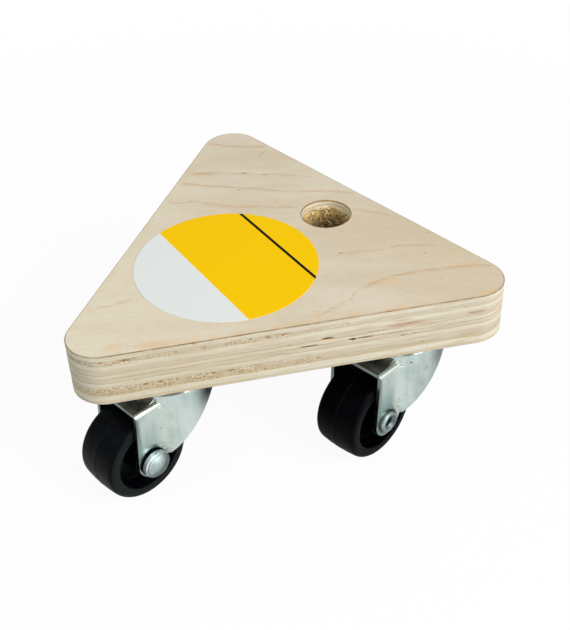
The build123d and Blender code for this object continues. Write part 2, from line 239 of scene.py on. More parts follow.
bmesh.ops.recalc_face_normals(deck_mesh, faces=list(deck_mesh.faces))
for level in (deck_low.z, deck_high.z):
    cap = [
        face for face in deck_mesh.faces
        if face not in wall_faces and abs(face.calc_center_median().z - level) < level_slack
    ]
    for ring_width in face_ring_widths:
        bmesh.ops.inset_region(
            deck_mesh, faces=cap, thickness=ring_width * MM, use_even_offset=True, use_boundary=True,
        )

# Open voids and torn specks of the front edge: along from the middle of the side, depth below the top
# face, length and height, in millimetres, and how dark the opening is painted, as painted shade in it,
# which also sets how far it is recessed. The other sides get theirs at random.
front_voids = [
    (3.2, 8.2, 9.5, 0.2, 0.9), (8.6, 6.4, 5.2, 0.36, 0.9), (16.1, 8.2, 3.2, 0.42, 1.0),
    (19.6, 8.2, 10.0, 0.2, 0.9), (29.5, 8.3, 13.0, 0.14, 0.5), (31.6, 9.7, 2.4, 0.2, 0.7),
    (34.6, 9.6, 1.2, 0.2, 0.6), (23.0, 6.5, 9.0, 0.15, 0.3), (33.2, 5.9, 2.0, 0.22, 0.5),
    (52.2, 5.5, 1.6, 0.25, 0.5), (49.9, 2.9, 0.8, 0.3, 0.45), (5.9, 13.1, 2.0, 0.22, 0.6),
    (14.7, 2.1, 1.6, 0.3, 0.35), (24.6, 13.3, 0.9, 0.25, 0.4), (26.7, 13.2, 0.8, 0.22, 0.35),
    (37.2, 13.3, 1.3, 0.25, 0.45), (-49.4, 2.5, 3.6, 0.5, 0.55), (-56.0, 2.2, 3.2, 0.35, 0.4),
    (-29.8, 0.5, 0.9, 0.35, 0.7), (-35.2, 2.3, 1.6, 0.3, 0.4), (-13.7, 2.2, 0.8, 0.5, 0.45),
    (-8.9, 2.5, 2.7, 0.45, 0.55), (-4.1, 2.4, 3.2, 0.4, 0.55), (-44.6, 12.4, 1.9, 0.45, 0.6),
    (-49.8, 12.5, 1.6, 0.35, 0.45), (-40.3, 12.3, 1.7, 0.45, 0.65), (-35.5, 12.3, 0.8, 0.5, 0.6),
    (-24.8, 12.4, 2.2, 0.4, 0.5), (-20.0, 12.4, 1.8, 0.4, 0.6), (-2.8, 6.7, 1.8, 0.2, 0.5),
    (-46.9, 10.0, 0.7, 0.25, 0.5), (-52.6, 12.6, 1.4, 0.3, 0.4),
]
ply_joints = [1.65, 3.4, 4.9, 6.7, 8.2, 9.8, 11.4, 13.0, 14.7, 16.2]
rough_plies = [(1.7, 3.4), (11.5, 14.5)]
voids_per_side = 26
rough_ply_share = 0.55
side_half = 54
draw = random.Random(7)
side_voids = [front_voids]
for _ in range(2):
    voids = []
    for _ in range(voids_per_side):
        in_rough_ply = draw.random() < rough_ply_share
        depth = draw.uniform(*draw.choice(rough_plies)) if in_rough_ply else draw.choice(ply_joints)
        length = draw.uniform(0.6, 2.6) if in_rough_ply else draw.uniform(1.5, 7.0)
        darkness = draw.uniform(0.35, 0.65) if in_rough_ply else draw.uniform(0.4, 1.0)
        voids.append((draw.uniform(-side_half, side_half), depth, length, draw.uniform(0.2, 0.45), darkness))
    side_voids.append(voids)
void_layer = deck_mesh.verts.layers.float.new("void")
rim_layer = deck_mesh.verts.layers.float.new("rim")
edge_round = 0.18
hole_round = 0.1
saw_marks = 0.02
joint_groove = 0.035
joint_half = 0.2
void_recess = 0.45
fuzz_start = 2.2
fuzz_height = 0.6


def eased(depth, radius):
    """How far an edge of the given round stands back at a depth from the face, in millimetres."""
    rise = max(0.0, radius - depth)
    return radius - math.sqrt(radius ** 2 - rise ** 2)


side_frames = []
for i in range(3):
    near, far = corner_centres[i], corner_centres[(i + 1) % 3]
    run = (far - near).normalized()
    side_frames.append(((near + far) / 2, run, run.cross(Vector((0, 0, 1)))))
for vert in deck_mesh.verts:
    flat = Vector((vert.co.x, vert.co.y, 0))
    outward = flat - closest_point_on_tri(flat, *corner_centres)
    from_hole = flat - hole_centre
    vert[rim_layer] = min(corner_radius - outward.length, from_hole.length - hole_radius) / MM
    depth = (deck_high.z - vert.co.z) / MM
    from_face = min(depth, deck_thickness - depth)
    grain = vert.co / MM
    if abs(corner_radius - outward.length) < outline_slack:
        recess = saw_marks * (1 + noise.noise(Vector((grain.x * 0.25, grain.y * 0.25, grain.z * 2.2))))
        recess += sum(joint_groove * max(0.0, 1 - abs(depth - joint) / joint_half) for joint in ply_joints)
        for top, bottom in rough_plies:
            if top < depth < bottom:
                recess += 0.05 + 0.09 * max(0.0, noise.noise(grain * 1.9)) + 0.05 * noise.noise(grain * 5.0)
        for (middle, run, normal), voids in zip(side_frames, side_voids):
            if (flat - middle).dot(normal) < corner_radius - MM:
                continue
            along = (flat - middle).dot(run) / MM
            for place, void_depth, length, height, darkness in voids:
                across = abs(along - place) / (length / 2)
                if across > 1.2:
                    continue
                ragged = 0.4 * noise.noise(Vector((along * 2.1, depth * 3.0, place)))
                taper = height * (1.15 - 0.7 * across)
                away = across ** 2 + (abs(depth - void_depth) / taper) ** 2 + ragged
                vert[void_layer] = max(vert[void_layer], darkness * min(1.0, max(0.0, 1.7 * (1 - away))))
        recess += void_recess * vert[void_layer] + eased(from_face, edge_round)
        vert.co -= outward.normalized() * recess * MM
    elif abs(from_hole.length - hole_radius) < outline_slack:
        fuzz = min(1.0, max(0.0, (depth - fuzz_start) / 2.0)) * (fuzz_height if from_face > 0.3 else 0.0)
        swell = fuzz * (noise.noise(grain * 0.55) + 0.5 * noise.noise(grain * 1.7))
        vert.co += from_hole.normalized() * (eased(from_face, hole_round) - swell) * MM
for face in deck_mesh.faces:
    face.smooth = face in wall_faces
    centre = face.calc_center_median()
    in_hole = (Vector((centre.x, centre.y, 0)) - hole_centre).length < hole_radius + fuzz_height * MM
    face.material_index = 0 if face not in wall_faces else 2 if in_hole else 1

# Face veneer: pale peeled birch, its few brown growth lines running down to the right across the board.
# Each line has a strength and its course over the face, in millimetres from the board's middle.
veneer = Finish("birch_face_veneer")
plan = veneer.millimetres(centre=deck_middle)
plan_x = veneer.axis(plan, "X")
plan_y = veneer.axis(plan, "Y")
grain_turn = 15


def grain_cloud(stretch, size, detail, rough=0.5):
    """A cloud in the veneer that is drawn out along its grain."""
    return veneer.noise(veneer.millimetres(turn=grain_turn, stretch=(stretch, 1, 1)), size, detail, rough)


def face_patch(x, y, length, height, turn):
    """How far out of an oval patch on the top face a place lies, the patch set from the board's middle."""
    patch_centre = (deck_middle.x + x * MM, deck_middle.y + y * MM, deck_high.z)
    return veneer.oval(patch_centre, (length, height, 3), turn)


fibre = veneer.noise(veneer.millimetres(turn=grain_turn, stretch=(8, 1, 6)), 0.3, detail=5, rough=0.68)
cloud = grain_cloud(3.2, 11, detail=3, rough=0.55)
wander = grain_cloud(3, 3.2, detail=3)
growth_lines = [
    (0.8, [(-9, 52.2), (-5, 50.5), (1, 48), (7, 46), (13, 44.2)]),
    (0.8, [
        (-19, 33.7), (-13, 32.5), (-7, 31), (1, 28.5), (5, 26.6), (9, 26), (13, 24.5), (18, 23), (24, 20),
    ]),
    (0.75, [
        (-22, 27.8), (-17, 26), (-11, 23.5), (-3, 20.5), (3, 18), (9, 15), (16, 13), (23, 11), (29, 9),
        (35, 6.6),
    ]),
    (0.7, [(-28, 17.8), (-23, 16), (-19, 15.3), (-13, 12), (-5, 8.5), (3, 6.5), (9, 4.5), (14, 2.6)]),
    (0.7, [(29.5, -2), (33, -4), (39, -7), (42.5, -9.4)]),
    (0.6, [(18, -25.8), (27, -26.5), (33, -27), (39, -26.5), (45, -27.5), (52, -29.3)]),
    (0.5, [(6, -54.4), (11, -52), (17, -49.3), (19.5, -46.4), (23, -44.4), (26, -43.2)]),
    (0.85, [(22, -44.6), (28, -42.6), (34, -41.2), (40, -40.8), (46, -41.2), (53, -41.5), (64, -44)]),
    (0.5, [(-58, -36), (-50, -34), (-43, -33)]),
]
line_run_in = 2.5
line_wander = 2.4
lines = 0.0
for strength, points in growth_lines:
    (first, _), (last, _) = points[0], points[-1]
    heights = [y for x, y in points]
    low, high = min(heights) - 1, max(heights) + 1
    share = veneer.node("MapRange", {"Value": plan_x, "From Min": first, "From Max": last}).outputs[0]
    course = veneer.node("FloatCurve", {"Value": share})
    curve = course.mapping.curves[0]
    while len(curve.points) < len(points):
        curve.points.new(0.5, 0.5)
    for spot, (x, y) in zip(curve.points, points):
        spot.location = ((x - first) / (last - first), (y - low) / (high - low))
    course.mapping.update()
    line_y = veneer.maths("MULTIPLY_ADD", course.outputs[0], high - low, low)
    away = veneer.shaken(veneer.maths("SUBTRACT", plan_y, line_y), wander, line_wander)
    below = veneer.ease(away, -2.4, 0.1)
    above = veneer.ease(away, -0.1, 0.6, 1.0, 0.0)
    sharp = veneer.times(veneer.maths("POWER", below, 1.8), above)
    shown = veneer.times(veneer.band(plan_x, first, first + line_run_in, last - line_run_in, last), strength)
    lines = veneer.maths("MAXIMUM", lines, veneer.times(sharp, shown))
broken = veneer.ease(grain_cloud(4, 2.0, detail=3), 0.32, 0.62, 0.25, 1.0)
lines = veneer.times(lines, broken)
wood = veneer.mix(veneer.ease(cloud, 0.32, 0.7), srgb(227, 214, 194), srgb(217, 201, 175))
wood = veneer.mix(veneer.ease(plan_x, -62, 12, 0.55, 0.0), wood, srgb(241, 229, 204))
wood = veneer.mix(veneer.ease(plan_x, 12, 60, 0.0, 0.55), wood, srgb(210, 190, 158))
warm_field = grain_cloud(7, 3.4, detail=3, rough=0.6)
wood = veneer.mix(veneer.ease(warm_field, 0.5, 0.75, 0.0, 0.2), wood, srgb(222, 192, 152))
wood = veneer.mix(veneer.ease(fibre, 0.42, 0.7, 0.0, 0.3), wood, srgb(198, 176, 142))
wood = veneer.mix(veneer.ease(fibre, 0.44, 0.3, 0.0, 0.22), wood, srgb(238, 229, 211))
wood = veneer.mix(veneer.times(lines, 0.78), wood, srgb(198, 156, 110))
flecks = veneer.ease(grain_cloud(3.4, 0.5, detail=1), 0.735, 0.80, 0.0, 0.3)
wood = veneer.mix(flecks, wood, srgb(142, 102, 60))
knots = 0.0
for x, y, length, height, turn in (
    (1.0, 28.6, 1.5, 0.5, 20), (7.2, 26.0, 1.9, 0.22, 10), (-3, 18.2, 0.9, 0.3, 15),
    (-19.7, 15.3, 0.6, 0.28, 10), (20.8, -26.0, 1.0, 0.35, 6), (45.8, -32.5, 0.45, 0.4, 0),
    (9.6, 40.6, 2.9, 0.16, -46), (50.4, -22.0, 0.4, 0.35, 0),
):
    reach = face_patch(x, y, length, height, turn)
    knots = veneer.maths("MAXIMUM", knots, veneer.ease(reach, 0.2, 1.1, 0.7, 0.0))
wood = veneer.mix(veneer.times(knots, veneer.ease(fibre, 0.2, 0.6, 0.55, 1.0)), wood, srgb(122, 86, 46))
for x, y, length, height, turn, strength in (
    (-40, -55.5, 9, 2.6, 0, 0.6), (-52, -54, 6, 2.0, -12, 0.4), (30.5, -43.5, 7, 2.2, 8, 0.45),
    (55, -41.2, 6, 1.5, 0, 0.5), (36, -57.5, 4, 1.6, 0, 0.55), (2.8, -57, 6, 1.4, 0, 0.45),
    (38, -32.5, 3, 3, 0, 0.3), (7, -53, 2.2, 3.5, 20, 0.4),
):
    reach = face_patch(x, y, length, height, turn)
    uneven = veneer.ease(warm_field, 0.3, 0.6, 0.5, 1.0)
    stain = veneer.times(veneer.ease(reach, 0.1, 1.1, strength, 0.0), uneven)
    wood = veneer.mix(stain, wood, srgb(228, 188, 138))
rim = veneer.attribute("rim")
patchy = veneer.noise(veneer.millimetres(), 9, detail=2)
warm = veneer.times(
    veneer.ease(rim, 0.4, 3.8, 1.0, 0.0), veneer.ease(patchy, 0.5, 0.66, 0.0, 0.5),
    veneer.ease(plan_y, -38, -12, 1.0, 0.15),
)
wood = veneer.mix(warm, wood, srgb(230, 188, 134))
singe_field = veneer.noise(veneer.millimetres(), 2.5, detail=3)
singe = veneer.times(veneer.ease(rim, 0.1, 0.36, 1.0, 0.0), veneer.ease(singe_field, 0.3, 0.62, 0.65, 1.0))
wood = veneer.mix(singe, wood, srgb(144, 110, 68))
veneer.set(base_color=wood, roughness=veneer.ease(fibre, 0.2, 0.8, 0.55, 0.72), specular_ior_level=0.3)
veneer.bump(fibre, 0.03)

# Sawn edge: the plies lie in light and tan bands from the top face down, with the glue lines between them.
sawn = Finish("birch_sawn_edge")
depth_below = sawn.times(sawn.axis(sawn.millimetres(centre=deck_high), "Z"), -1.0)
waver = sawn.noise(sawn.millimetres(stretch=(14, 14, 2)), 1.0, detail=2)
wavy_depth = sawn.shaken(depth_below, waver, 0.5)
light_ply = srgb(239, 230, 208)
pale_ply = srgb(233, 222, 197)
mid_ply = srgb(224, 211, 187)
tan_ply = srgb(215, 198, 167)
glue = srgb(190, 165, 128)
bands = [
    (0.0, pale_ply), (0.9, light_ply), (1.5, light_ply), (1.9, mid_ply), (3.2, mid_ply), (3.5, light_ply),
    (4.6, light_ply), (5.0, mid_ply), (6.6, mid_ply), (6.72, glue), (6.9, pale_ply), (8.05, pale_ply),
    (8.22, glue), (8.42, mid_ply), (9.6, mid_ply), (9.75, glue), (9.95, light_ply), (11.2, pale_ply),
    (11.6, mid_ply), (12.8, mid_ply), (13.2, tan_ply), (14.3, tan_ply), (14.7, light_ply), (16.2, light_ply),
    (16.5, tan_ply), (17.1, pale_ply),
]
ply_share = sawn.maths("DIVIDE", wavy_depth, deck_thickness)
ply = sawn.ramp(ply_share, [(band / deck_thickness, colour) for band, colour in bands])
streak = sawn.noise(sawn.millimetres(stretch=(34, 34, 1)), 0.32, detail=4, rough=0.68)
ply = sawn.mix(sawn.ease(streak, 0.46, 0.7, 0.0, 0.55), ply, srgb(186, 162, 126))
ply = sawn.mix(sawn.ease(streak, 0.47, 0.3, 0.0, 0.5), ply, srgb(245, 239, 223))
side_x = sawn.axis(sawn.millimetres(centre=deck_middle), "X")
yellowed = sawn.times(sawn.ease(side_x, 25, -30, 0.0, 0.15), sawn.ease(side_x, -62, -52))
ply = sawn.mix(yellowed, ply, srgb(206, 180, 128))
blotch = sawn.noise(sawn.millimetres(stretch=(9, 9, 1)), 1.6, detail=2)
ply = sawn.mix(sawn.ease(blotch, 0.52, 0.72, 0.0, 0.25), ply, srgb(212, 180, 142))
for along, depth, length, height, strength in (
    (31.3, 4.0, 4.4, 0.45, 0.5), (32.0, 5.5, 7.2, 1.0, 0.55), (53.6, 5.4, 4.0, 0.9, 0.5),
    (-49.4, 2.4, 2.4, 0.7, 0.4), (8.6, 6.2, 2.6, 0.6, 0.5),
):
    stain_centre = (deck_middle.x + along * MM, deck_low.y, deck_high.z - depth * MM)
    reach = sawn.oval(stain_centre, (length, 6, height))
    stained = sawn.times(sawn.ease(reach, 0.4, 1.1, strength, 0.0), sawn.ease(streak, 0.3, 0.6, 0.5, 1.0))
    ply = sawn.mix(stained, ply, srgb(186, 132, 88))
rough_ply = 0.0
for top, bottom in rough_plies:
    inside = sawn.band(wavy_depth, top - 0.2, top + 0.3, bottom - 0.3, bottom + 0.2)
    rough_ply = sawn.maths("MAXIMUM", rough_ply, inside)
torn = sawn.noise(sawn.millimetres(stretch=(1.6, 1.6, 1)), 0.34, detail=3, rough=0.65)
patches = sawn.ease(sawn.noise(sawn.millimetres(), 8, detail=2), 0.36, 0.58, 0.25, 1.0)
leftward = sawn.ease(side_x, -10, 10, 1.0, 0.12)
tear = sawn.times(rough_ply, patches, leftward)
specks = sawn.times(sawn.ease(torn, 0.49, 0.58), tear)
ply = sawn.mix(sawn.times(specks, 0.9), ply, srgb(184, 150, 90))
ply = sawn.mix(sawn.times(sawn.ease(torn, 0.6, 0.68), sawn.times(tear, 0.8)), ply, srgb(116, 90, 48))
fluff = sawn.times(sawn.ease(torn, 0.32, 0.46, 0.7, 0.0), sawn.maths("MULTIPLY_ADD", tear, 0.75, 0.25))
ply = sawn.mix(fluff, ply, srgb(248, 240, 220))
opened = sawn.attribute("void")
frayed_and_void_shade = sawn.times(sawn.shaken(opened, torn, 1.5), sawn.ease(opened, 0.02, 0.2))
# Torn brown fibres round each opening, and painted shade, near black, deep inside it.
ply = sawn.mix(sawn.ease(frayed_and_void_shade, 0.12, 0.42, 0.0, 0.75), ply, srgb(178, 132, 78))
ply = sawn.mix(sawn.ease(frayed_and_void_shade, 0.5, 0.85, 0.0, 0.95), ply, srgb(52, 32, 17))
charred = sawn.ease(sawn.noise(sawn.millimetres(), 3.0, detail=3), 0.3, 0.62, 0.6, 1.0)
burnt = sawn.times(sawn.ease(depth_below, 0.14, 0.4, 1.0, 0.0), charred)
ply = sawn.mix(sawn.times(burnt, 0.8), ply, srgb(128, 96, 56))
sawn.set(base_color=ply, roughness=0.74, specular_ior_level=0.25)
torn_relief = sawn.times(torn, sawn.maths("MULTIPLY_ADD", rough_ply, 0.8, 0.2))
sawn.bump(sawn.maths("ADD", streak, torn_relief), 0.05)

# Bored wall: clean for the first plies, then torn by the drill into loose tan fibre, with painted shade that
# darkens it with depth down the hole.
bored = Finish("birch_bored_wall")
clean_plies = 3
bore_level = bored.axis(bored.millimetres(centre=(0, 0, deck_high.z)), "Z")
fuzzy = bored.noise(bored.millimetres(stretch=(1, 1, 1.6)), 0.7, detail=4, rough=0.65)
frayed_level = bored.shaken(bore_level, bored.noise(bored.millimetres(), 2.4, detail=3), 5.0)
loose = bored.ease(frayed_level, -2.2, -3.6)
bore_lines = bored.noise(bored.millimetres(stretch=(7, 7, 1)), 0.45, detail=3, rough=0.65)
clean_wood = bored.mix(bored.ease(bore_lines, 0.5, 0.7, 0.0, 0.6), srgb(252, 240, 212), srgb(188, 150, 98))
wavy_level = bored.shaken(bore_level, bored.noise(bored.millimetres(), 3.0, detail=3), 1.2)
for joint in ply_joints[:clean_plies]:
    from_joint = bored.maths("ABSOLUTE", bored.maths("ADD", wavy_level, joint))
    clean_wood = bored.mix(bored.ease(from_joint, 0.3, 0.06, 0.0, 0.65), clean_wood, srgb(182, 142, 92))
clean_wood = bored.mix(bored.ease(bore_level, -0.5, -0.2), clean_wood, srgb(158, 118, 62))
# Painted shade: the loose fibre is painted darker from 3 mm to 13 mm below the top face.
loose_wood_and_depth_shade = bored.mix(bored.ease(bore_level, -3.0, -13.0), srgb(226, 194, 132), srgb(112, 84, 48))
loose_wood_and_depth_shade = bored.mix(bored.ease(fuzzy, 0.5, 0.66, 0.0, 0.85), loose_wood_and_depth_shade, srgb(78, 54, 28))
loose_wood_and_depth_shade = bored.mix(bored.ease(fuzzy, 0.42, 0.3, 0.0, 0.7), loose_wood_and_depth_shade, srgb(240, 214, 156))
bore_wood = bored.mix(loose, clean_wood, loose_wood_and_depth_shade)
bored.set(base_color=bore_wood, roughness=0.85)
bored.bump(fuzzy, 0.25)

add_piece("plywood_board", deck_mesh, [veneer, sawn, bored], "deck", "birch_plywood", "plywood_deck")


# Loose fibres in the hole: the drill leaves short splinters standing in the lower plies.
# They are slivers of the same birch, still rooted in the bored wall.
fibre_count = 300
deepest_root = 14.0
fibre_flatness = 0.55
fibre_tip = 0.03
fibre_mesh = bmesh.new()
tone_and_depth_shade_layer = fibre_mesh.verts.layers.float.new("tone")
for _ in range(fibre_count):
    angle = math.radians(draw.uniform(0, 360))
    root_depth = draw.uniform(2.6, deepest_root)
    length = min(draw.uniform(1.0, 3.4), root_depth - 0.8)
    lean = Vector((draw.uniform(-1, 1), draw.uniform(-1, 1), draw.uniform(-0.5, 0.9)))
    inward = -Vector((math.cos(angle), math.sin(angle), 0))
    heading = (inward * 0.75 + lean).normalized()
    root = hole_centre - inward * (hole_radius - 0.1 * MM)
    root.z = deck_high.z - root_depth * MM
    turn = heading.to_track_quat("Z", "Y").to_matrix().to_4x4()
    flatten = Matrix.Diagonal((1.0, fibre_flatness, 1.0, 1.0))
    sliver = bmesh.ops.create_cone(
        fibre_mesh, cap_ends=True, segments=5, radius1=draw.uniform(0.14, 0.3) * MM, radius2=fibre_tip * MM,
        depth=length * MM, matrix=Matrix.Translation(root + heading * length / 2 * MM) @ turn @ flatten,
    )
    # Painted shade: each splinter's random tone is made darker the deeper it is rooted in the hole.
    tone = draw.random() * (1.0 - 0.5 * root_depth / deepest_root)
    for vert in sliver["verts"]:
        vert[tone_and_depth_shade_layer] = tone
splinter = Finish("birch_splinters")
tone_and_depth_shade = splinter.attribute("tone")
tint = splinter.shaken(tone_and_depth_shade, splinter.noise(splinter.millimetres(), 0.6, detail=2), 0.4)
splinter_tones = [
    (0.0, srgb(104, 72, 34)), (0.3, srgb(174, 140, 86)),
    (0.6, srgb(238, 214, 162)), (0.9, srgb(252, 240, 206)),
]
splinter.set(base_color=splinter.ramp(tint, splinter_tones), roughness=0.8)
add_piece("hole_fibres", fibre_mesh, [splinter], "deck", "birch_plywood")


# Label: a round self-adhesive film pressed on to the deck, printed in two plain fields and one rule.
# It has a satin face, and the grain of the wood shows through a little.
label_low, label_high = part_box("round_label")
label_centre = (label_low + label_high) / 2
label_radius = (label_high.x - label_low.x) / 2
label_segments = 180
label_edge = 0.05 * MM
label_mesh = bmesh.new()
bmesh.ops.create_circle(
    label_mesh, cap_ends=True, segments=label_segments, radius=label_radius,
    matrix=Matrix.Translation((label_centre.x, label_centre.y, label_low.z)),
)
raised = bmesh.ops.extrude_face_region(label_mesh, geom=list(label_mesh.faces))["geom"]
top_verts = [item for item in raised if isinstance(item, bmesh.types.BMVert)]
bmesh.ops.translate(label_mesh, verts=top_verts, vec=(0, 0, label_high.z - label_low.z))
top_rim = [edge for edge in label_mesh.edges if all(vert in top_verts for vert in edge.verts)]
bmesh.ops.bevel(
    label_mesh, geom=top_rim, offset=label_edge, segments=2, profile=0.5, affect="EDGES", material=-1,
)
bmesh.ops.recalc_face_normals(label_mesh, faces=list(label_mesh.faces))
film = Finish("label_film")
print_turn = 20.86
across_print = film.axis(film.millimetres(turn=-print_turn, centre=label_centre), "X")
field = film.mix(film.ease(across_print, -8.7, -8.5), srgb(232, 234, 232), srgb(254, 203, 0))
rule = film.band(across_print, 17.75, 17.85, 18.75, 18.85)
field = film.mix(rule, field, srgb(8, 6, 6))
shade = film.noise(film.millimetres(turn=grain_turn, stretch=(9, 1, 1)), 2.6, detail=2)
film.set(base_color=field, roughness=film.ease(shade, 0.2, 0.8, 0.42, 0.5), specular_ior_level=0.05)
film.bump(shade, 0.03)
add_piece("label_disc", label_mesh, [film], "deck", "label_film", "round_label")


# Zinc-plated steel: mounting plates, forks and cups are stamped from sheet, the fasteners are cold headed.
# Bright zinc is bluish white, a little cloudy, with a few pits in the plating.
def zinc_plate(name, tone, cloud_tone, sheen):
    """Bright zinc plating over steel."""
    zinc = Finish(name)
    cloud = zinc.noise(zinc.millimetres(), 6, detail=4, rough=0.6)
    fine = zinc.noise(zinc.millimetres(stretch=(1, 1, 2.4)), 0.5, detail=3)
    zinc.colour = zinc.mix(zinc.ease(cloud, 0.38, 0.7, 0.0, 0.8), tone, cloud_tone)
    pits = zinc.ease(zinc.noise(zinc.millimetres(), 0.9, detail=1), 0.80, 0.83, 0.0, 0.6)
    zinc.colour = zinc.mix(pits, zinc.colour, srgb(96, 98, 90))
    zinc.set(base_color=zinc.colour, metallic=1.0, roughness=zinc.ease(cloud, 0.25, 0.75, sheen, sheen + 0.1))
    zinc.bump(fine, 0.006, edge=0.18)
    return zinc


zinc_sheet = zinc_plate("zinc_plated_sheet", srgb(204, 217, 212), srgb(184, 200, 194), 0.15)
zinc_fastener = zinc_plate("zinc_plated_fasteners", srgb(188, 204, 203), srgb(160, 176, 174), 0.34)


# Balls: polished bearing steel, loose in the races of each swivel and smeared with brown grease.
bearing = Finish("bearing_steel")
grease = bearing.noise(bearing.millimetres(), 1.4, detail=2)
bearing.set(
    base_color=bearing.mix(bearing.ease(grease, 0.5, 0.7, 0.0, 0.5), srgb(190, 192, 194), srgb(120, 104, 70)),
    metallic=1.0, roughness=bearing.ease(grease, 0.3, 0.7, 0.1, 0.3),
)


# Forks: each is pressed from one sheet, with a round head, a shelf in front and two legs, and then plated.
# Each gets its own wear and its own painted reflection, highlight and shade: shares of each mark, the radius
# where the rivet meets the leg, and specks, by their place from the pivot towards the wheel, above the floor
# and along the axle, size and share.
fork_wear_and_painted_light = {
    "front_left": {
        "leg": 0.5, "crease": 0.4, "wall": 0.5, "wall_reflection_tone": srgb(232, 243, 242), "end": 0.95,
        "rivet_edge": 4.5, "specks": [(12.6, 26.2, 9.9, 0.5, 0.4)],
    },
    "front_right": {
        "leg": 0.95, "crease": 0.3, "wall": 0.28, "wall_reflection_tone": srgb(146, 162, 160), "end": 0.8,
        "rivet_edge": 4.0, "specks": [(8.9, 35.4, 12.1, 0.42, 0.9), (4.1, 31.6, 14.4, 1.3, 0.3)],
    },
    "rear": {
        "leg": 0.6, "crease": 0.5, "wall": 0.5, "wall_reflection_tone": srgb(160, 176, 174), "end": 0.5,
        "rivet_edge": 4.0, "specks": [],
    },
}
# Squeezed so far along the axle that only the distance from the axle counts.
axle_section = (1, 1000, 1)
away_from_lamp = (-0.75, 0, -0.65)
speck_depth = 3


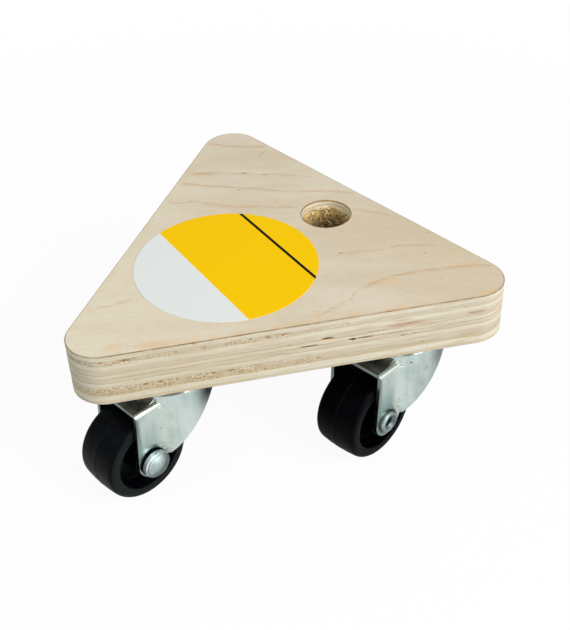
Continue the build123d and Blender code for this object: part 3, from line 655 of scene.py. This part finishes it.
def fork_zinc(corner, pivot, hub_centre, axle, trail_angle):
    """The plating of one caster's fork, as it is worn, with painted reflection, highlight and shade."""
    wear_and_light = fork_wear_and_painted_light[corner]
    fork = zinc_plate(f"{corner}_zinc_plated_fork", srgb(206, 219, 215), srgb(182, 198, 193), 0.13)
    on_fork = fork.millimetres(turn=-trail_angle, centre=(pivot.x, pivot.y, 0))
    behind = fork.axis(on_fork, "X")
    level = fork.axis(on_fork, "Z")
    # The press draws the sheet upright, and the round wall of the head gets a painted reflection in each fork's
    # own tone, lighter on the front left fork and darker on the others, strongest low down.
    drawn = fork.noise(fork.millimetres(stretch=(1, 1, 14)), 1.5, detail=3, rough=0.6)
    plated = fork.mix(fork.ease(drawn, 0.5, 0.72, 0.0, 0.35), fork.colour, srgb(226, 232, 226))
    plated = fork.mix(fork.ease(drawn, 0.48, 0.3, 0.0, 0.3), plated, srgb(160, 178, 176))
    round_wall_painted_reflection = fork.times(fork.ease(behind, 9, 6, 0.0, wear_and_light["wall"]), fork.ease(level, 37, 28, 0.35, 1.0))
    plated = fork.mix(round_wall_painted_reflection, plated, wear_and_light["wall_reflection_tone"])
    # The flat legs get a painted reflection that is greyer low down, and the crease beside them a painted
    # highlight, with a little rust.
    flat_leg_painted_reflection = fork.times(fork.ease(behind, 12.5, 15.5), fork.ease(level, 35, 20))
    plated = fork.mix(fork.times(flat_leg_painted_reflection, wear_and_light["leg"]), plated, srgb(140, 162, 161))
    crease = fork.band(behind, 9.5, 11.8, 12.2, 14.0)
    # Painted highlight along the crease.
    plated = fork.mix(fork.times(crease, wear_and_light["crease"]), plated, srgb(224, 228, 216))
    rust = fork.ease(fork.noise(fork.millimetres(stretch=(1, 1, 1.6)), 0.8, detail=2), 0.66, 0.74, 0.0, 0.7)
    plated = fork.mix(fork.times(rust, crease), plated, srgb(126, 116, 92))
    # Painted shade: the head is painted dark where its wall turns round the pivot, away from the wheel, most high
    # up.
    turned_wall = fork.ease(behind, 4.5, -2.5, 0.0, wear_and_light["end"])
    turned_end_painted_shade = fork.times(turned_wall, fork.ease(level, 27, 35, 0.35, 1.0))
    plated = fork.mix(turned_end_painted_shade, plated, srgb(42, 48, 48))
    # A cloudy darker ring lies round the rivet, and a painted shadow lies where the rivet meets the leg, on the
    # side away from the lamp.
    from_axle = fork.millimetres(turn=-trail_angle, centre=hub_centre, stretch=axle_section)
    ring = fork.length(from_axle)
    ring_cloud = fork.noise(fork.millimetres(), 1.8, detail=4, rough=0.65)
    rivet_dark_ring = fork.times(fork.ease(ring, 4.2, 8.0, 0.8, 0.0), fork.ease(ring_cloud, 0.4, 0.62))
    plated = fork.mix(rivet_dark_ring, plated, srgb(104, 112, 104))
    lee_side = fork.towards(from_axle, away_from_lamp)
    rivet_edge = wear_and_light["rivet_edge"]
    close_by = fork.ease(ring, rivet_edge + 0.6, rivet_edge)
    painted_contact_shadow = fork.times(close_by, fork.ease(lee_side, -1.0, 2.0, 0.85, 0.92))
    plated = fork.mix(painted_contact_shadow, plated, srgb(30, 35, 34))
    # Dark specks, and painted shade on the front edge of the legs, strongest high up.
    trail = Vector((math.cos(math.radians(trail_angle)), math.sin(math.radians(trail_angle)), 0))
    for speck_behind, speck_level, speck_across, size, strength in wear_and_light["specks"]:
        sideways = (trail * speck_behind + axle * speck_across) * MM
        spot = Vector((pivot.x, pivot.y, speck_level * MM)) + sideways
        reach = fork.oval(spot, (size, speck_depth, size), -trail_angle)
        plated = fork.mix(fork.ease(reach, 0.1, 1.2, strength, 0.0), plated, srgb(64, 62, 54))
    front_edge_painted_shade = fork.times(fork.ease(behind, 19.4, 20.8, 0.0, 0.78), fork.ease(level, 18, 32, 0.3, 1.0))
    plated = fork.mix(front_edge_painted_shade, plated, srgb(92, 98, 90))
    # The fold beside the shelf gets a painted highlight, and the faces that look up get a painted reflection of
    # the shaded deck underside: dark, less metallic, and darkest about 17 mm in front of the pivot.
    upward = fork.axis(fork.node("NewGeometry").outputs["Normal"], "Z")
    from_middle = fork.maths("ABSOLUTE", fork.axis(on_fork, "Y"))
    on_shelf = fork.ease(behind, 9.5, 11.5)
    fold_painted_highlight = fork.times(fork.ease(from_middle, 8.2, 8.8), fork.ease(upward, 0.1, 0.4), on_shelf)
    plated = fork.mix(fork.times(fold_painted_highlight, 0.75), plated, srgb(242, 247, 244))
    reflection_start = fork.maths("MULTIPLY_ADD", on_shelf, -0.35, 0.35)
    reflection_end = fork.maths("MULTIPLY_ADD", on_shelf, -0.25, 0.75)
    upward_painted_reflection = fork.ease(upward, reflection_start, reflection_end, 0.0, 0.9)
    upward_painted_reflection = fork.times(upward_painted_reflection, fork.maths("SUBTRACT", 1.0, fold_painted_highlight))
    from_dark = fork.maths("ABSOLUTE", fork.maths("SUBTRACT", behind, 17.0))
    upward_reflection_tone = fork.mix(fork.ease(from_dark, 0.8, 3.2), srgb(50, 44, 31), srgb(108, 100, 80))
    fork.set(
        base_color=fork.mix(upward_painted_reflection, plated, upward_reflection_tone),
        metallic=fork.maths("MULTIPLY_ADD", upward_painted_reflection, -0.36, 1.0),
    )
    return fork


# Axle rivets: cold headed in steel and plated, with a domed head on one side of the fork.
# The other end is hollow and is rolled over on the far leg. From the front, the left one shows its head
# and the right one its rolled end.
underneath = (-0.5, 0, -0.85)


def rivet_zinc(corner, hub_centre, trail_angle):
    """The plating of one caster's axle rivet, as it is worn, with painted highlight and shade."""
    rivet = zinc_plate(f"{corner}_zinc_plated_rivet", srgb(180, 196, 195), srgb(158, 174, 172), 0.44)
    rolled_side = -1 if corner == "front_left" else 1
    along_axle = rivet.axis(rivet.millimetres(turn=-trail_angle, centre=hub_centre), "Y")
    to_rolled_end = rivet.times(along_axle, rolled_side)
    to_head = rivet.times(along_axle, -rolled_side)
    from_axle = rivet.millimetres(turn=-trail_angle, centre=hub_centre, stretch=axle_section)
    ring = rivet.length(from_axle)
    lee_side = rivet.towards(from_axle, away_from_lamp)
    # The rolled end is greyer, with painted shade in its bore, at its edge and on its side away from the lamp, and
    # a painted highlight on the side towards the lamp.
    rolled_end = rivet.ease(to_rolled_end, 5.0, 9.0)
    riveted = rivet.mix(rivet.times(rolled_end, 0.6), rivet.colour, srgb(116, 132, 130))
    in_lee = rivet.ease(lee_side, -2.8, 0.0, 0.0, 0.85)
    rolled_edge_painted_shade = rivet.times(rivet.ease(ring, 3.3, 3.65), rolled_end, in_lee)
    riveted = rivet.mix(rolled_edge_painted_shade, riveted, srgb(44, 50, 50))
    rolled_end_painted_highlight = rivet.times(rivet.ease(lee_side, -2.5, -3.5), rolled_end)
    riveted = rivet.mix(rolled_end_painted_highlight, riveted, srgb(190, 202, 200))
    bore_painted_shade = rivet.times(rivet.ease(ring, 2.7, 2.4, 0.0, 0.52), rolled_end)
    riveted = rivet.mix(bore_painted_shade, riveted, srgb(40, 46, 46))
    shaded = rivet.times(rivet.ease(lee_side, 1.8, 3.0, 0.0, 0.5), rolled_end)
    riveted = rivet.mix(shaded, riveted, srgb(40, 46, 46))
    # The head gets a painted highlight on the side towards the lamp, painted shade below, a painted dark line
    # round it on the lamp side, and scratches all over.
    head = rivet.ease(to_head, 9.0, 10.5)
    head_rim = rivet.ease(to_head, 12.0, 11.6, 0.0, 0.12)
    riveted = rivet.mix(rivet.times(head_rim, head), riveted, srgb(92, 104, 106))
    head_painted_highlight = rivet.times(rivet.ease(lee_side, -3.1, -4.1, 0.0, 0.9), head)
    riveted = rivet.mix(head_painted_highlight, riveted, srgb(238, 246, 246))
    scratches = rivet.noise(rivet.millimetres(turn=-trail_angle, stretch=(1, 1, 5)), 0.5, detail=3, rough=0.7)
    under_side = rivet.towards(from_axle, underneath)
    head_painted_shade = rivet.times(
        rivet.ease(under_side, -1.6, 0.9, 0.0, 0.8), head, rivet.ease(scratches, 0.3, 0.6, 0.7, 1.0),
    )
    riveted = rivet.mix(head_painted_shade, riveted, srgb(50, 57, 54))
    head_painted_shade_line = rivet.band(ring, 3.75, 3.95, 4.05, 4.25)
    head_painted_shade_line = rivet.times(head_painted_shade_line, rivet.ease(lee_side, -0.8, -2.4, 0.0, 0.6), head)
    riveted = rivet.mix(head_painted_shade_line, riveted, srgb(84, 94, 104))
    scored = rivet.ease(scratches, 0.54, 0.66, 0.0, 0.5)
    riveted = rivet.mix(rivet.times(scored, head), riveted, srgb(96, 104, 104))
    dirt = rivet.ease(rivet.noise(rivet.millimetres(), 1.3, detail=4, rough=0.7), 0.54, 0.68, 0.0, 0.55)
    rivet.set(base_color=rivet.mix(dirt, riveted, srgb(116, 126, 124)))
    return rivet


# Casters: the steel pieces of all three keep their CAD shapes and get the finishes above.
# Plate, screws, kingpin and cup stay with the deck, and the fork turns on the balls between them.
caster_corners = ("front_left", "front_right", "rear")
joints = {joint["name"]: joint for joint in frame["joints"]}
for corner in caster_corners:
    pivot = Vector(joints[f"{corner}_swivel"]["pos_m"])
    roll = joints[f"{corner}_wheel_roll"]
    hub_centre = Vector(roll["pos_m"])
    axle = Vector(roll["axis"])
    trail_angle = math.degrees(math.atan2(-axle.x, axle.y))
    steel_finishes = {
        "mounting_plate": zinc_sheet,
        "swivel_cup": zinc_sheet,
        "fork": fork_zinc(corner, pivot, hub_centre, axle, trail_angle),
        "plate_screws": zinc_fastener,
        "kingpin": zinc_fastener,
        "axle_rivet": rivet_zinc(corner, hub_centre, trail_angle),
        "upper_balls": bearing,
        "lower_balls": bearing,
    }
    for piece, finish in steel_finishes.items():
        node = frame["nodes"][f"{corner}_{piece}"]
        node.data.materials.clear()
        node.data.materials.append(finish.material)


# Wheels: moulded in one piece in black polypropylene, a solid tread ring on a thin web and a hub.
# The two halves of the mould leave a fine parting line round the middle of the tread.
tread_radius = 15.1
tread_half = 7.8
tread_crown = 0.6
tread_round = 1.6
tread_places = (0.13, 1.5, 3, 4.5, 6, tread_half)
parting_height = 0.04
rim_inside = 10.9
rim_round = 0.5
web_half = 2.0
web_round = 0.6
hub_radius = 5.5
hub_half = 8.3
hub_round = 0.35
bore_radius = 2.58
wheel_steps = 144
sharp_edge = math.radians(40)


def moulded_black(name, tread_tone, scuffed_tone, flank_tone, parting_shown, shine):
    """Black polypropylene as it leaves the mould, a little scuffed on the tread."""
    plastic = Finish(name)
    scuff = plastic.noise(plastic.millimetres(), 2.2, detail=5, rough=0.65)
    mould = plastic.noise(plastic.millimetres(), 0.35, detail=2)
    black = plastic.mix(plastic.ease(scuff, 0.45, 0.75), tread_tone, scuffed_tone)
    black = plastic.mix(plastic.attribute("flank"), black, flank_tone)
    black = plastic.mix(plastic.times(plastic.attribute("parting"), parting_shown), black, srgb(40, 42, 46))
    scratch_field = plastic.noise(plastic.millimetres(stretch=(1, 1, 6)), 0.7, detail=1)
    black = plastic.mix(plastic.ease(scratch_field, 0.78, 0.82, 0.0, 0.4), black, srgb(46, 48, 52))
    satin = plastic.ease(scuff, 0.3, 0.75, 0.38, 0.52)
    plastic.set(base_color=black, roughness=satin, specular_ior_level=shine)
    plastic.bump(mould, 0.012)
    return plastic


def wheel_point(hub_centre, axle, side, height):
    """A point of a wheel's section: side along the axle and height above it, in millimetres."""
    return hub_centre + (axle * side + Vector((0, 0, height))) * MM


# Painted light: each wheel gets its own copy of the same black, painted lighter on the front left one, darkest on
# the front right one and between on the rear one, for how each is lit.
plastics = {
    "front_left": moulded_black(
        "front_left_polypropylene", srgb(4, 5, 9), srgb(14, 16, 20), srgb(22, 28, 28),
        parting_shown=0.25, shine=0.07,
    ),
    "front_right": moulded_black(
        "front_right_polypropylene", srgb(1, 1, 4), srgb(5, 6, 9), srgb(11, 13, 15),
        parting_shown=0.8, shine=0.035,
    ),
    "rear": moulded_black(
        "rear_polypropylene", srgb(3, 3, 7), srgb(8, 9, 13), srgb(16, 19, 21),
        parting_shown=0.6, shine=0.05,
    ),
}
tread = [
    (side, tread_radius - parting_height - tread_crown * (side / tread_half) ** 2) for side in tread_places
]
half_section = [
    (0, tread_radius), *tread, (tread_half, rim_inside), (web_half, rim_inside), (web_half, hub_radius),
    (hub_half, hub_radius), (hub_half, bore_radius),
]
section = half_section + [(-side, height) for side, height in reversed(half_section) if side]
section_rounds = (
    (tread_round, 8, [tread[-1]]),
    (rim_round, 4, [(tread_half, rim_inside)]),
    (web_round, 4, [(web_half, rim_inside), (web_half, hub_radius)]),
    (hub_round, 4, [(hub_half, hub_radius)]),
)
for corner in caster_corners:
    roll = joints[f"{corner}_wheel_roll"]
    hub_centre = Vector(roll["pos_m"])
    axle = Vector(roll["axis"]).normalized()
    wheel_mesh = bmesh.new()
    wheel_mesh.faces.new([wheel_mesh.verts.new(wheel_point(hub_centre, axle, *point)) for point in section])
    for radius, segments, places in section_rounds:
        both_sides = [(sign * side, height) for side, height in places for sign in (1, -1)]
        spots = [wheel_point(hub_centre, axle, *place) for place in both_sides]
        chosen = [
            vert for vert in wheel_mesh.verts
            if any((vert.co - spot).length < outline_slack for spot in spots)
        ]
        bmesh.ops.bevel(
            wheel_mesh, geom=chosen, offset=radius * MM, segments=segments, profile=0.5,
            affect="VERTICES", material=-1,
        )
    bmesh.ops.delete(wheel_mesh, geom=list(wheel_mesh.faces), context="FACES_ONLY")
    bmesh.ops.spin(
        wheel_mesh, geom=list(wheel_mesh.verts) + list(wheel_mesh.edges), cent=hub_centre, axis=axle,
        angle=math.radians(360), steps=wheel_steps, use_merge=True,
    )
    bmesh.ops.remove_doubles(wheel_mesh, verts=list(wheel_mesh.verts), dist=0.001 * MM)
    bmesh.ops.recalc_face_normals(wheel_mesh, faces=list(wheel_mesh.faces))
    flank_layer = wheel_mesh.verts.layers.float.new("flank")
    parting_layer = wheel_mesh.verts.layers.float.new("parting")
    for vert in wheel_mesh.verts:
        from_hub = vert.co - hub_centre
        side = abs(from_hub.dot(axle)) / MM
        height = from_hub.cross(axle).length / MM
        vert[flank_layer] = float(side > tread_half - 0.3 and height > rim_inside + 0.3)
        vert[parting_layer] = float(side < 0.01 and height > rim_inside)
    for face in wheel_mesh.faces:
        face.smooth = True
    for edge in wheel_mesh.edges:
        edge.smooth = edge.calc_face_angle(0) < sharp_edge
    add_piece(
        f"{corner}_wheel_moulding", wheel_mesh, [plastics[corner]], f"{corner}_wheel", "black_plastic",
        f"{corner}_wheel",
    )


# Floor and light: a plain white studio table under a pale sky, a large soft lamp in front to the right,
# and a weaker one to the left. Away from the dolly the table fades to pure white.
floor_half = 4.0
floor_mesh = bmesh.new()
bmesh.ops.create_grid(floor_mesh, x_segments=1, y_segments=1, size=floor_half)
floor_data = bpy.data.meshes.new("studio_floor")
floor_mesh.to_mesh(floor_data)
floor_mesh.free()
floor = bpy.data.objects.new("studio_floor", floor_data)
bpy.context.scene.collection.objects.link(floor)
paper = Finish("white_paper")
path = paper.node("LightPath")
diffuse_ray = path.outputs["Is Diffuse Ray"]
bounce = paper.node("MapRange", {"Value": diffuse_ray, "To Min": 0.92, "To Max": 0.45}).outputs[0]
paper.set(base_color=bounce, roughness=0.9, specular_ior_level=0.0)
mirror_ray = paper.maths("ADD", path.outputs["Is Glossy Ray"], path.outputs["Is Transmission Ray"])
mirrored = paper.times(mirror_ray, 0.2)
faded = paper.ease(paper.length(paper.place), 0.1, 0.4, 0.94, 1.0)
seen = paper.maths("MULTIPLY_ADD", path.outputs["Is Camera Ray"], faded, mirrored)
glow = paper.node("Emission", {"Color": (1, 1, 1, 1), "Strength": 1.0})
shown = paper.node("MixShader", {0: seen, 1: paper.shader.outputs[0], 2: glow.outputs[0]})
paper.feed(paper.tree.nodes["Material Output"].inputs["Surface"], shown.outputs[0])
floor_data.materials.append(paper.material)

world = bpy.data.worlds.new("studio_air")
world.use_nodes = True
bpy.context.scene.world = world
air = world.node_tree
sky = air.nodes["Background"]
sky_path = air.nodes.new("ShaderNodeLightPath")
sky_side = air.nodes.new("ShaderNodeSeparateXYZ")
air.links.new(air.nodes.new("ShaderNodeTexCoord").outputs["Generated"], sky_side.inputs[0])
sky_mirrored = air.nodes.new("ShaderNodeMapRange")
air.links.new(sky_side.outputs["X"], sky_mirrored.inputs["Value"])
sky_level = 0.44
to_white = 1.0 - sky_level
for key, value in (("From Min", -0.7), ("From Max", 0.5), ("To Min", 0.3 - sky_level), ("To Max", to_white)):
    sky_mirrored.inputs[key].default_value = value
sky_strength = sky_level
for ray, share in (
    ("Is Camera Ray", to_white),
    ("Is Glossy Ray", sky_mirrored.outputs[0]),
    ("Is Transmission Ray", to_white),
):
    added = air.nodes.new("ShaderNodeMath")
    added.operation = "MULTIPLY_ADD"
    for socket, value in zip(added.inputs, (sky_path.outputs[ray], share, sky_strength)):
        if isinstance(value, float):
            socket.default_value = value
        else:
            air.links.new(value, socket)
    sky_strength = added.outputs[0]
air.links.new(sky_strength, sky.inputs["Strength"])
sky.inputs["Color"].default_value = (1, 1, 1, 1)

lamp_target = Vector((0, 0, 0.04))
for name, place, size, power, tint in (
    ("front_lamp", (0.61, -0.76, 0.82), 0.7, 11.8, (1, 1, 1)),
    ("left_lamp", (-0.85, -0.25, 0.75), 0.6, 1.6, (0.68, 1.0, 0.92)),
):
    lamp = bpy.data.objects.new(name, bpy.data.lights.new(name, "AREA"))
    bpy.context.scene.collection.objects.link(lamp)
    lamp.data.size = size
    lamp.data.energy = power
    lamp.data.color = tint
    aim = lamp_target - Vector(place)
    lamp.matrix_world = Matrix.Translation(place) @ aim.to_track_quat("-Z", "Y").to_matrix().to_4x4()

# Camera: at the photograph's own viewing angle, a little rolled.
camera = bpy.data.objects.new("photo_camera", bpy.data.cameras.new("photo_camera"))
bpy.context.scene.collection.objects.link(camera)
camera.data.lens = 63.066
camera.data.clip_start = 0.01
view_azimuth = 11.025
view_elevation = 38.152
view_roll = -2.143
camera_offset = Vector((-0.0499, -0.2955, 0.1951))
looking = Vector((0, 1, 0))
looking.rotate(Matrix.Rotation(math.radians(-view_elevation), 3, "X"))
looking.rotate(Matrix.Rotation(math.radians(-view_azimuth), 3, "Z"))
level_turn = looking.to_track_quat("-Z", "Y").to_matrix().to_4x4()
roll_turn = Matrix.Rotation(math.radians(view_roll), 4, "Z")
camera_place = Vector((deck_middle.x, deck_middle.y, deck_high.z)) + camera_offset
camera.matrix_world = Matrix.Translation(camera_place) @ level_turn @ roll_turn
bpy.context.scene.camera = camera
bpy.context.scene.view_settings.view_transform = "Standard"
